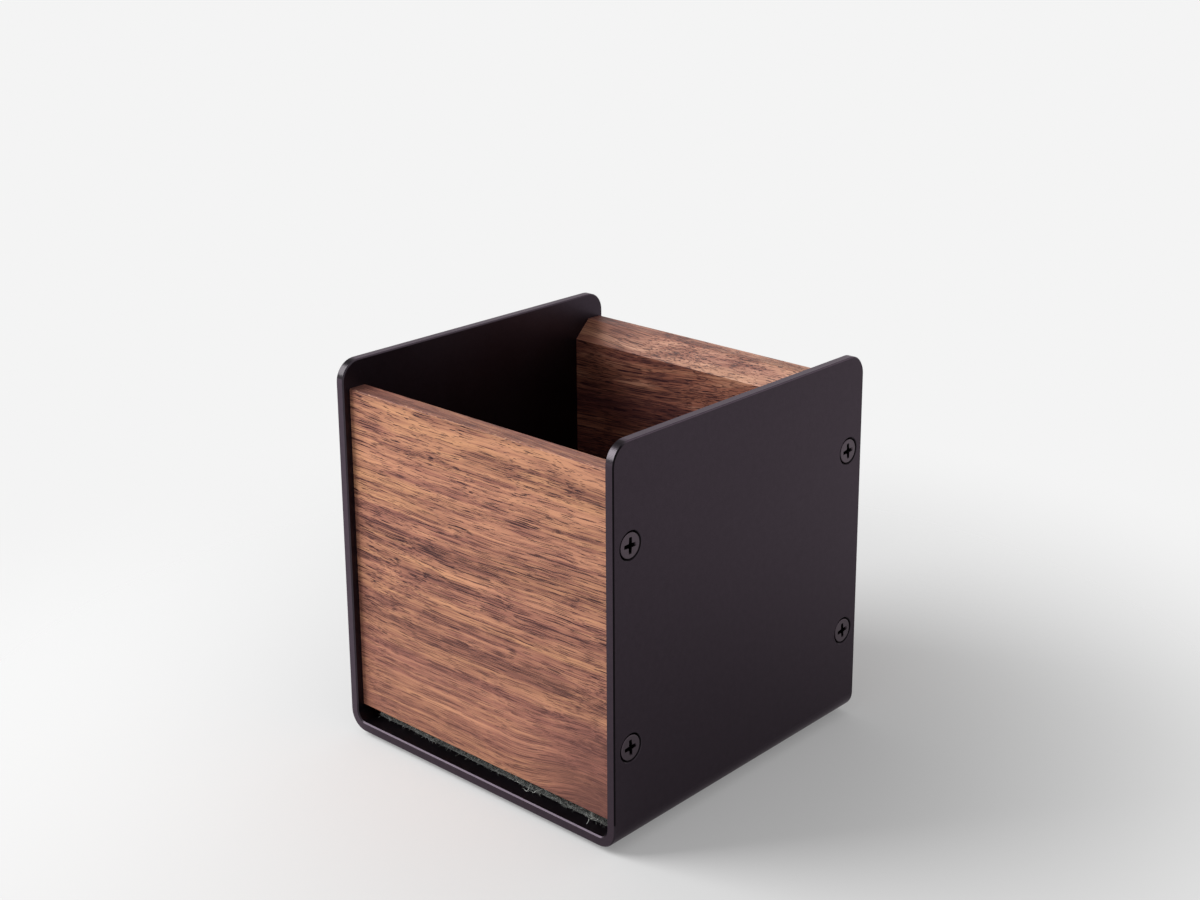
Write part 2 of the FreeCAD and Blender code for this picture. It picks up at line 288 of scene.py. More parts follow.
@dataclass(frozen=True)
class AnodisedAluminium(Finish):
    """Sheet aluminium, bead blasted and dyed black: a fine matt skin, with smoother broken edges.

    Slopes are shares of an axis in the surface's direction, from 0 to 1. Wear, painted light and
    painted shade are the shares by which a part gets paler or darker; the rims are partly worn.
    """

    name: str = "black_anodised_aluminium"
    skin: str = "362E35"
    edge_skin: str = "3A343A"
    glance: str = "F2ECF1"
    bare: str = "A7A4A6"
    # The blasting's grit, the dye's mottle and the handling's smudges: size and finer layers. Real
    # grit is under 0.1 mm, too fine to show, so it is drawn coarser.
    grains: tuple[Span, ...] = ((0.16, 2.0), (1.6, 3.0), (30.0, 3.0))
    grain_roughness: float = 0.6
    grit_gain: Span = (0.90, 1.12)
    mottle_gain: Span = (0.95, 1.06)
    roughness: Span = (0.34, 0.41)
    edge_roughness: float = 0.30
    pit_strength: float = 0.20
    pit_mm: float = 0.03
    # The dye is sealed, which leaves a thin glaze on the rounded corners.
    seal_share: float = 0.30
    seal_roughness: float = 0.20
    # Broken edges and corners lean towards the open ends by more than the first and less than the
    # second of these slopes.
    lean_begins: Span = (0.10, 0.25)
    lean_ends: Span = (0.96, 0.995)
    upright_slope: Span = (0.60, 0.70)
    shoulder_slope: Span = (0.74, 0.90)
    square_slope: float = 0.3
    flat_slope: float = 0.98
    bend_mm: float = 8.0
    corner_mm: float = 90.0
    rim_mm: Span = (96.7, 97.05)
    lip_mm: Span = (44.82, 44.88)
    lip_share: Span = (0.1, 1.0)
    # The screws' seats: how far out and how deep, within which distance and below which height.
    seat_mm: Span = (43.74, 1.14)
    seats_within_mm: float = 44.0
    seats_below_mm: float = 93.6
    # Painted light on the front end of the left wall and painted shade on its rounded corner, which
    # dims the highlight there: where the left wall lies, and the shares.
    left_mm: Span = (-37.0, -42.0)
    left_front_end_painted_light: float = 0.46
    left_corner_painted_shade: float = 0.60
    # Painted shade on the rounded corners, which dims their highlight, and on their shoulders just
    # below the rims, a painted dark reflection.
    corner_painted_shade: float = 0.35
    shoulder_painted_shade: float = 0.55
    # The rims' chamfers, their outer lips and their top faces are paler: partly wear, partly
    # painted highlight and painted light.
    rim_wear_and_painted_highlight: float = 0.6
    lip_wear_and_painted_highlight: float = 0.69
    crown_wear_and_painted_light: float = 0.80
    # Painted shade on the outer upright chamfers and in the screw seats, painted light on the ends
    # that face the front, and painted shade that dims the highlight on the base's front chamfer.
    painted_deep_shade: float = 0.82
    front_end_painted_light: float = 0.42
    fold_shade: float = 0.25
    nick_pitch_mm: float = 7.0
    nick_size: Span = (0.030, 0.050)

    def shader(self) -> Node:
        """Makes the sheet's surface.

        Returns:
            The shader.
        """
        nodes, edge = self.nodes, self.edge
        grit, mottle, smudge = (
            nodes.add("TexNoise", nodes.place, 1 / (size * MM), detail, self.grain_roughness)
            for size, detail in self.grains
        )
        tint, cloud, flat_gloss = (
            nodes.add("MapRange", grain, *NOISE_SPAN, *span)
            for grain, span in (
                (grit, self.grit_gain),
                (mottle, self.mottle_gain),
                (smudge, self.roughness),
            )
        )
        edge_gain, glazed = self.edge_shade()
        shade = nodes.fold("MULTIPLY", (tint, cloud, edge_gain))
        skins = linear(self.skin), linear(self.edge_skin)
        dyed = nodes.add("Mix", edge, *skins, data_type="RGBA")
        shaded = nodes.add("Mix", 1.0, dyed, shade, data_type="RGBA", blend_type="MULTIPLY")
        nicked = nodes.add("Mix", self.nicks(), shaded, linear(self.bare), data_type="RGBA")
        gloss = nodes.add("Mix", edge, flat_gloss, self.edge_roughness, data_type="FLOAT")
        pits = nodes.add("Bump", self.pit_strength, self.pit_mm * MM, sockets={"Height": grit})
        seal = nodes.add("Math", glazed, self.seal_share, operation="MULTIPLY")
        skin = {
            "Metallic": 1.0,
            "Specular Tint": linear(self.glance),
            "Coat Roughness": self.seal_roughness,
            "Base Color": nicked,
            "Roughness": gloss,
            "Normal": pits,
            "Coat Weight": seal,
        }
        return nodes.add("BsdfPrincipled", sockets=skin)

    @cached_property
    def edge(self) -> Node:
        """Finds the broken edges and rounded corners, which lean towards the open ends.

        Returns:
            A node that gives 1 on them and 0 on the flats and the bends.
        """
        nodes = self.nodes
        lean = nodes.add("Math", nodes.slope["Y"], operation="ABSOLUTE")
        rise = nodes.add("MapRange", lean, *self.lean_begins)
        fall = nodes.add("MapRange", lean, *self.lean_ends, *FALLING)
        return nodes.fold("MULTIPLY", (rise, fall))

    def edge_shade(self) -> tuple[Node, Node]:
        """How pale the edges are: painted light and shade, partly wear on the rims.

        Returns:
            A node that gives 1 off the edges, and one that gives 1 on the glazed corners.
        """
        nodes, edge, slope, spot = self.nodes, self.edge, self.nodes.slope, self.nodes.spot
        up = spot["Z"]
        across, steep, aside, along = (
            nodes.add("Math", part, operation="ABSOLUTE")
            for part in (slope["X"], slope["Z"], spot["X"], spot["Y"])
        )
        facing = nodes.fold("MULTIPLY", (slope["X"], spot["X"]))
        outward, above_bend, near_rim, crown = (
            nodes.add("Math", *parts, operation="GREATER_THAN")
            for parts in (
                (facing, 0.0),
                (up, self.bend_mm * MM),
                (up, self.corner_mm * MM),
                (slope["Z"], self.flat_slope),
            )
        )
        low, below, inboard, square, front_ends = (
            nodes.add("Math", *parts, operation="LESS_THAN")
            for parts in (
                (up, self.bend_mm * MM),
                (up, self.seats_below_mm * MM),
                (along, self.seats_within_mm * MM),
                (across, self.square_slope),
                (slope["Y"], -self.flat_slope),
            )
        )
        diagonal, slack = DIAGONAL
        slanted, broken, inset = (
            nodes.add("Math", *parts, operation="COMPARE")
            for parts in (
                (across, diagonal, slack),
                (slope["Y"], -diagonal, slack),
                (aside, *metres(*self.seat_mm)),
            )
        )
        high, upright, outermost, shoulder, leftmost = (
            nodes.add("MapRange", *parts)
            for parts in (
                (up, *metres(*self.rim_mm)),
                (steep, *self.upright_slope, *FALLING),
                (aside, *metres(*self.lip_mm), *self.lip_share),
                (slope["Z"], *self.shoulder_slope),
                (spot["X"], *metres(*self.left_mm)),
            )
        )
        brow = nodes.add("Math", 1.0, shoulder, operation="SUBTRACT")
        near_seats, outer_edge, corner = (
            nodes.fold("MULTIPLY", parts)
            for parts in ((inboard, below), (slanted, outward), (square, near_rim, edge))
        )
        long_edge, lip, glazed = (
            nodes.fold("MULTIPLY", parts)
            for parts in ((outer_edge, upright), (outer_edge, outermost), (corner, brow))
        )
        cut = nodes.add("Mix", near_seats, long_edge, inset, data_type="FLOAT")
        # Painted light and shade by facing and place; on the rims partly wear.
        gains = []
        for faces, where, change in (
            (front_ends, leftmost, self.left_front_end_painted_light),
            (corner, leftmost, -self.left_corner_painted_shade),
            (corner, corner, -self.corner_painted_shade),
            (corner, shoulder, -self.shoulder_painted_shade),
            (slanted, high, self.rim_wear_and_painted_highlight),
            (lip, high, self.lip_wear_and_painted_highlight),
            (crown, high, self.crown_wear_and_painted_light),
            (cut, above_bend, -self.painted_deep_shade),
            (front_ends, front_ends, self.front_end_painted_light),
            (broken, low, -self.fold_shade),
        ):
            both = nodes.fold("MULTIPLY", (faces, where))
            gains.append(nodes.add("Math", both, change, 1.0, operation="MULTIPLY_ADD"))
        return nodes.fold("MULTIPLY", gains), glazed

    def nicks(self) -> Node:
        """A few tiny knocks on the rims' edges, where bare metal shows.

        Returns:
            A node that gives 1 in a nick.
        """
        nodes = self.nodes
        spots = nodes.add("TexVoronoi", nodes.place, 1 / (self.nick_pitch_mm * MM))
        small = nodes.add("MapRange", spots, *self.nick_size, *FALLING)
        high = nodes.add("Math", nodes.spot["Z"], self.rim_mm[0] * MM, operation="GREATER_THAN")
        return nodes.fold("MULTIPLY", (small, nodes.fold("MULTIPLY", (high, self.edge))))


@dataclass(frozen=True)
class Walnut(Finish):
    """Oiled American walnut: tan and purple-brown streaks, with short open pores along the grain.

    Lengths are in millimetres, along the grain and then across it.
    """

    name: str = "oiled_walnut"
    # From the darkest heart to the palest streak, and the tones at which they lie.
    shades: tuple[str, ...] = ("5F3B39", "7A5048", "9B6859", "D49B79")
    stops: tuple[float, ...] = (0.10, 0.32, 0.55, 0.92)
    # Broad streaks are washed with one of these two.
    golden: str = "FFFDF4"
    rosy: str = "FFF8FA"
    cast_mm: Span = (60.0, 5.0)
    cast_span: Span = (0.38, 0.62)
    ior: float = 1.45
    roughness: Span = (0.62, 0.48)
    # The gleam of the faces, and of the top edge.
    sheen: Span = (0.25, 0.28)
    # The grain: how it is turned and shifted, and the growth's warps by their pace and push.
    tilt_deg: float = 0.0
    lean_deg: float = 2.0
    shift_mm: Triple = (0.0, 0.0, 0.0)
    warps: tuple[tuple[Triple, float], ...] = (
        ((0.012, 0.030, 0.030), 5.0),
        ((0.09, 0.20, 0.20), 0.7),
    )
    # How far apart in the noise the streaks of each size lie, by their width and length.
    apart: Span = (3.7, 0.9)
    # Growth rings: length, width and share of the tone.
    rings: Triple = (240.0, 11.0, 0.42)
    # Streaks, flecks, patches and fibres: length, width, finer layers, depth and share of the tone.
    # Real fibres are a tenth as wide, too fine to show, so they are drawn coarser.
    layers: Rows = (
        (190.0, 2.9, 2.0, 1.0, 0.65),
        (120.0, 1.0, 1.0, 1.0, 0.68),
        (9.0, 2.4, 1.0, 1.0, 0.36),
        (13.0, 0.27, 1.0, 3.0, 0.56),
    )
    # Pores: length, width, rarity and darkness. They crowd where the tone is dark.
    pore: str = "35161C"
    vessels: Rows = (
        (4.6, 0.17, 0.650, 0.75),
        (11.0, 0.20, 0.655, 1.00),
        (32.0, 0.18, 0.662, 0.80),
    )
    pore_rim: float = 0.05
    crowd_span: Span = (0.38, 0.80)
    crowd_push: Span = (0.055, -0.055)
    relief_strength: float = 0.6
    relief_mm: float = 0.10
    # How pale the board is at large. Paler upwards and to the right is partly painted light, for
    # the lamp's light falling off across the board.
    bias: float = 0.645
    rise_per_m: float = 2.2
    drift_per_m: float = 0.6
    # Painted shade on the upward faces below 0, painted light above 0, and which slope counts as
    # upward.
    crest_painted_light: float = -0.28
    crest_slope: float = 0.4
    knot_mm: Triple = (39.0, -43.0, 7.0)
    knot_reach_mm: float = 30.0
    knot_push_mm: float = 6.0
    knot_shade: float = 0.27
    # How much calmer the figure is at the foot, about the knot and on the top edge.
    calm: Triple = (0.36, 0.24, 0.35)
    foot_mm: Span = (15.0, 55.0)
    # The frayed upper edge: its Y and Z, how near it the fibres break, and their size and number.
    arris_mm: Span = (-43.0, 90.4)
    splinter: str = "D7A582"
    fray_mm: Span = (0.10, 0.60)
    fray_gain: Span = (0.27, 0.0)
    splinter_mm: Span = (1.4, 0.3)
    splinter_detail: float = 2.0
    torn_span: Span = (0.75, 0.87)
    torn_share: Span = (0.0, 0.60)

    def shader(self) -> Node:
        """Makes the wood's surface, with the grain along the object's X axis.

        Returns:
            The shader.
        """
        nodes, tone, pores = self.nodes, self.tone, self.pores()
        ramp = nodes.add("ValToRGB", tone)
        set_stops(ramp, zip(self.stops, self.shades))
        cast = nodes.add("MapRange", self.streaks(*self.cast_mm), *self.cast_span)
        washes = linear(self.golden), linear(self.rosy)
        tint = nodes.add("Mix", cast, *washes, data_type="RGBA")
        tinted = nodes.add("Mix", 1.0, ramp, tint, data_type="RGBA", blend_type="MULTIPLY")
        pored = nodes.add("Mix", pores, tinted, linear(self.pore), data_type="RGBA")
        torn = self.torn_fibres()
        frayed = nodes.add("Mix", torn, pored, linear(self.splinter), data_type="RGBA")
        depth = self.relief_mm * MM
        wood = {
            "Metallic": 0.0,
            "IOR": self.ior,
            "Base Color": frayed,
            "Specular IOR Level": nodes.add("MapRange", self.crest, *WHOLE, *self.sheen),
            "Roughness": nodes.add("MapRange", tone, *WHOLE, *self.roughness),
            "Normal": nodes.add(
                "Bump", self.relief_strength, depth, sockets={"Height": pores}, invert=True
            ),
        }
        return nodes.add("BsdfPrincipled", sockets=wood)

    @cached_property
    def crest(self) -> Node:
        """The faces that look upwards, the top edge and its bevel: 1 there and 0 elsewhere."""
        up = self.nodes.slope["Z"]
        return self.nodes.add("Math", up, self.crest_slope, operation="GREATER_THAN")

    def torn_fibres(self) -> Node:
        """The frayed upper edge, where the saw broke short pale fibres out.

        Returns:
            A node that gives up to 1 on a broken fibre.
        """
        nodes = self.nodes
        away = []
        for axis, where in zip("YZ", self.arris_mm):
            past = nodes.add("Math", nodes.spot[axis], where * MM, operation="SUBTRACT")
            away.append(nodes.add("Math", past, operation="ABSOLUTE"))
        near = (*metres(*self.fray_mm), *self.fray_gain)
        close = nodes.add("MapRange", nodes.fold("ADD", away), *near)
        long, wide = (1 / length for length in metres(*self.splinter_mm))
        drawn = nodes.add("Mapping", nodes.place, sockets={"Scale": (long, wide, wide)})
        fibres = nodes.add("TexNoise", drawn, 1.0, self.splinter_detail)
        both = nodes.add("Math", fibres, close, operation="ADD")
        return nodes.add("MapRange", both, *self.torn_span, *self.torn_share)

    @cached_property
    def near_knot(self) -> Node:
        """How near a place is to the small knot at one end of the board.

        Returns:
            A node that gives 1 at the knot and 0 beyond its reach.
        """
        nodes = self.nodes
        away = nodes.add("VectorMath", nodes.place, metres(*self.knot_mm), operation="DISTANCE")
        reach = self.knot_reach_mm * MM
        return nodes.add("MapRange", away, 0.0, reach, *FALLING, interpolation_type="SMOOTHSTEP")

    @cached_property
    def grain(self) -> Node:
        """Places in millimetres, turned to the grain and warped as a growing trunk is.

        Returns:
            A node that gives places whose x runs along the grain.
        """
        nodes = self.nodes
        turn = (0.0, math.radians(self.tilt_deg), math.radians(self.lean_deg))
        warped = turned = nodes.add(
            "Mapping", nodes.place, self.shift_mm, turn, (1 / MM, 1 / MM, 1 / MM)
        )
        for pace, push in self.warps:
            slow = nodes.add("Mapping", turned, sockets={"Scale": pace})
            sway = nodes.add("TexNoise", slow, 1.0, 1.0, 0.4).outputs["Color"]
            centred = nodes.add("VectorMath", sway, (0.5, 0.5, 0.5), operation="SUBTRACT")
            pushed = nodes.add("VectorMath", centred, (0.0, push, push), operation="MULTIPLY")
            warped = nodes.add("VectorMath", warped, pushed, operation="ADD")
        bulge = nodes.add("Math", self.near_knot, -self.knot_push_mm, operation="MULTIPLY")
        lift = nodes.add("CombineXYZ", sockets={"Z": bulge})
        return nodes.add("VectorMath", warped, lift, operation="ADD")

    def streaks(self, long: float, wide: float, detail: float = 2.0, deep: float = 1.0) -> Node:
        """Noise that is drawn out along the grain.

        Args:
            long: A streak's length in millimetres.
            wide: A streak's width in millimetres.
            detail: How many finer layers it has.
            deep: How many times its width a streak reaches into the board.

        Returns:
            A node that gives values about 0.5.
        """
        # Streaks of each size lie elsewhere in the noise, so that none follow each other.
        across, up = self.apart
        elsewhere = (wide * across, 0.0, long * up)
        size = {"Scale": (1 / long, 1 / (wide * deep), 1 / wide)}
        drawn = self.nodes.add("Mapping", self.grain, elsewhere, sockets=size)
        return self.nodes.add("TexNoise", drawn, 1.0, detail, 0.5)

    def level(self) -> Node:
        """How pale the board is at large: paler upwards and to the right, darker at the knot.

        Paler upwards and to the right is partly painted light; the upward faces get painted light
        or shade.

        Returns:
            A node that gives what the tone starts from.
        """
        spot = self.nodes.spot
        half_height = 0.5 * self.arris_mm[1] * MM
        level = self.bias - self.rise_per_m * half_height - self.rings[2] / 2
        for where, change in (
            (spot["Z"], self.rise_per_m),
            (spot["X"], self.drift_per_m),
            (self.near_knot, -self.knot_shade),
            (self.crest, self.crest_painted_light),
        ):
            level = self.nodes.add("Math", where, change, level, operation="MULTIPLY_ADD")
        return level

    @cached_property
    def contrast(self) -> Node:
        """How strongly the figure shows: less at the foot, about the knot and on the top edge.

        Returns:
            A node that gives 1 where the figure is strong.
        """
        nodes, (at_foot, at_knot, at_crest) = self.nodes, self.calm
        spans = (*metres(*self.foot_mm), 1.0 - at_foot, 1.0)
        up = nodes.spot["Z"]
        contrast = nodes.add("MapRange", up, *spans, interpolation_type="SMOOTHSTEP")
        for where, change in ((self.near_knot, -at_knot), (self.crest, -at_crest)):
            contrast = nodes.add("Math", where, change, contrast, operation="MULTIPLY_ADD")
        return contrast

    @cached_property
    def tone(self) -> Node:
        """How pale the wood is: rings, streaks in them, short flecks and single fibres.

        Returns:
            A node that gives values from 0, dark, to 1, pale.
        """
        nodes = self.nodes
        layers = [
            nodes.add("Math", self.streaks(*sizes), share, -share / 2, operation="MULTIPLY_ADD")
            for *sizes, share in self.layers
        ]
        long, wide, share = self.rings
        rings = self.streaks(long, wide, 1.0)
        ringed = nodes.add("Math", rings, share, self.level(), operation="MULTIPLY_ADD")
        parts = (nodes.fold("ADD", layers), self.contrast, ringed)
        return nodes.add("Math", *parts, operation="MULTIPLY_ADD", use_clamp=True)

    def pores(self) -> Node:
        """The open vessels, cut along their length into dark dashes that crowd in dark streaks.

        Returns:
            A node that gives up to 1 in a pore and 0 between pores.
        """
        nodes = self.nodes
        crowd = nodes.add("MapRange", self.tone, *self.crowd_span, *self.crowd_push)
        dashes = []
        for long, wide, rarity, depth in self.vessels:
            vessel = self.streaks(long, wide, 0.0)
            crowded = nodes.add("Math", vessel, crowd, operation="ADD")
            cut = (rarity, rarity + self.pore_rim, 0.0, depth)
            dashes.append(nodes.add("MapRange", crowded, *cut))
        deepest = nodes.fold("MAXIMUM", dashes)
        return nodes.fold("MULTIPLY", (deepest, self.contrast))


@dataclass(frozen=True)
class Grainy(Finish):
    """A finish with one plain grain: its size, its finer layers and how strong those are."""

    grain_mm: float
    detail: float
    grain_roughness: float

    @cached_property
    def grain(self) -> Node:
        """Makes the grain.

        Returns:
            A node that gives values about 0.5.
        """
        scale = 1 / (self.grain_mm * MM)
        values = (self.nodes.place, scale, self.detail, self.grain_roughness)
        return self.nodes.add("TexNoise", *values)


@dataclass(frozen=True)
class WoolFelt(Grainy):
    """Pressed wool felt, dark grey-green: matt, mottled and hairy where it is cut."""

    # The darkest and the palest shade, and where in the grain they lie.
    shades: tuple[str, str]
    stops: Span = (0.34, 0.68)
    nap_strength: float = 0.8
    nap_mm: float = 0.3
    roughness: float = 0.95
    ior: float = 1.5
    sheen: float = 0.35
    sheen_roughness: float = 0.6

    def shader(self) -> Node:
        """Makes the felt's or its fibres' surface.

        Returns:
            The shader.
        """
        nodes, height = self.nodes, {"Height": self.grain}
        ramp = nodes.add("ValToRGB", self.grain)
        set_stops(ramp, zip(self.stops, self.shades))
        wool = {
            "Roughness": self.roughness,
            "IOR": self.ior,
            "Sheen Weight": self.sheen,
            "Sheen Roughness": self.sheen_roughness,
            "Base Color": ramp,
            "Normal": nodes.add("Bump", self.nap_strength, self.nap_mm * MM, sockets=height),
        }
        return nodes.add("BsdfPrincipled", sockets=wool)


@dataclass(frozen=True)
class BlackenedSteel(Grainy):
    """Steel screws under a black zinc coat: a dull metal gleam, and painted shade below the face.
    """

    # The coat, and the near black painted shade in the recess and on the head's flank below the
    # face.
    coat: str = "51474E"
    recess_shade: str = "1A181A"
    face_mm: Span = (44.50, 44.62)
    roughness: Span = (0.30, 0.44)

    def shader(self) -> Node:
        """Makes the screws' surface.

        Returns:
            The shader.
        """
        nodes = self.nodes
        outward = nodes.add("Math", nodes.spot["X"], operation="ABSOLUTE")
        face = nodes.add("MapRange", outward, *metres(*self.face_mm))
        shade_and_coat = linear(self.recess_shade), linear(self.coat)
        steel = {
            "Metallic": 1.0,
            "Base Color": nodes.add("Mix", face, *shade_and_coat, data_type="RGBA"),
            "Roughness": nodes.add("MapRange", self.grain, *NOISE_SPAN, *self.roughness),
        }
        return nodes.add("BsdfPrincipled", sockets=steel)


@dataclass(frozen=True)
class MouldedRubber(Grainy):
    """Black moulded rubber: matt, with the faint bloom and grain of the mould."""

    shades: tuple[str, str] = ("161616", "242424")
    relief_strength: float = 0.3
    relief_mm: float = 0.05
    roughness: float = 0.8
    ior: float = 1.52

    def shader(self) -> Node:
        """Makes the feet's surface.

        Returns:
            The shader.
        """
        nodes, height, depth = self.nodes, {"Height": self.grain}, self.relief_mm * MM
        rubber = {
            "Roughness": self.roughness,
            "IOR": self.ior,
            "Base Color": nodes.add("Mix", self.grain, *map(linear, self.shades), data_type="RGBA"),
            "Normal": nodes.add("Bump", self.relief_strength, depth, sockets=height),
        }
        return nodes.add("BsdfPrincipled", sockets=rubber)


@dataclass
class Dressed:
    """CAD nodes whose shape is kept and which share one finish."""

    finish: Finish
    pieces: tuple[str, ...]

    def build(self) -> None:
        """Dresses every piece."""
        material = self.finish.material()
        for name in self.pieces:
            dress(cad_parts[name], material)
            LOG.info("%s dressed", name)


@dataclass
class Shell(Dressed):
    """The bent shell."""

    finish: AnodisedAluminium = AnodisedAluminium()
    pieces: tuple[str, ...] = ("shell",)


@dataclass
class Boards:
    """The two walnut boards, cut from two places in one plank, the back one in painted shade."""

    front: Walnut = Walnut("walnut_front")
    # The back board's darker, redder shades and low bias are painted shade for its face inside the
    # cup; its raised crest is painted light on its upper bevel.
    back: Walnut = Walnut(
        "walnut_back",
        shades=("5A322E", "74443A", "955F4D", "D09B80"),
        sheen=(0.25, 0.55),
        tilt_deg=5.0,
        shift_mm=(310.0, 57.0, -23.0),
        layers=(
            (190.0, 2.9, 2.0, 1.0, 0.55),
            (120.0, 1.0, 1.0, 1.0, 0.50),
            (16.0, 5.0, 1.0, 1.0, 0.60),
            (13.0, 0.27, 1.0, 3.0, 0.48),
        ),
        bias=0.345,
        crest_painted_light=0.21,
        knot_mm=(-46.0, 36.0, 99.0),
        knot_push_mm=4.0,
        knot_shade=0.10,
        calm=(0.36, 0.24, 0.0),
        arris_mm=(38.0, 90.4),
    )

    def build(self) -> None:
        """Dresses both boards."""
        for side, finish in zip(Side, (self.front, self.back)):
            Dressed(finish, (f"{side.value}_panel",)).build()


@dataclass
class Screws(Dressed):
    """The eight wood screws."""

    # The coat's real grain is too fine to show, so it is drawn coarser.
    finish: BlackenedSteel = BlackenedSteel("black_zinc_coated_steel", 0.3, 3.0, 0.6)
    pieces: tuple[str, ...] = tuple(
        f"screw_{wall.value}_{side.value}_{level.value}"
        for wall in Wall
        for side in Side
        for level in Level
    )


@dataclass
class Feet(Dressed):
    """The four rubber feet."""

    finish: MouldedRubber = MouldedRubber("black_moulded_rubber", 0.5, 4.0, 0.6)
    pieces: tuple[str, ...] = tuple(
        f"foot_{side.value}_{wall.value}" for side in Side for wall in Wall
    )


def strand(line: list[Vector], radius: float, first: int) -> tuple[list[Vector], list[tuple]]:
    """The mesh of one fibre: three-sided, and pointed at both ends.

    Args:
        line: Its points from root to tip, in metres.
        radius: Its half thickness in metres.
        first: The number of its first mesh point.

    Returns:
        Its mesh points and its faces.
    """
    spots = [line[0]]
    for before, spot, after in zip(line, line[1:], line[2:]):
        along = (after - before).normalized()
        across = along.orthogonal().normalized()
        third = along.cross(across)
        for corner in range(3):
            turn = math.tau * corner / 3
            offset = across * math.cos(turn) + third * math.sin(turn)
            spots.append(spot + offset * radius)
    spots.append(line[-1])
    last = first + len(spots) - 1
    faces = []
    for corner in range(3):
        beside = (corner + 1) % 3
        faces.append((first, first + 1 + beside, first + 1 + corner))
        for low in range(first + 1, last - 3, 3):
            high = low + 3
            faces.append((low + corner, low + beside, high + beside))
            faces.append((low + corner, high + beside, high + corner))
        faces.append((last - 3 + corner, last - 3 + beside, last))
    return spots, faces


@dataclass(frozen=True)
class Fibres:
    """One kind of loose fibre, drawn thicker than real wool, which at 0.03 mm is too fine to show.

    Lengths and radii are from least to greatest, in millimetres. How far a fibre points along its
    edge and upwards is a mean and a spread, and its curl is in radians for each step.
    """

    count: int
    length: Span
    radius: Span
    curl: float
    along: Span = (0.0, 0.0)
    upwards: Span = (0.0, 0.0)
    steps: int = 6


Start = tuple[Vector, Vector, float]


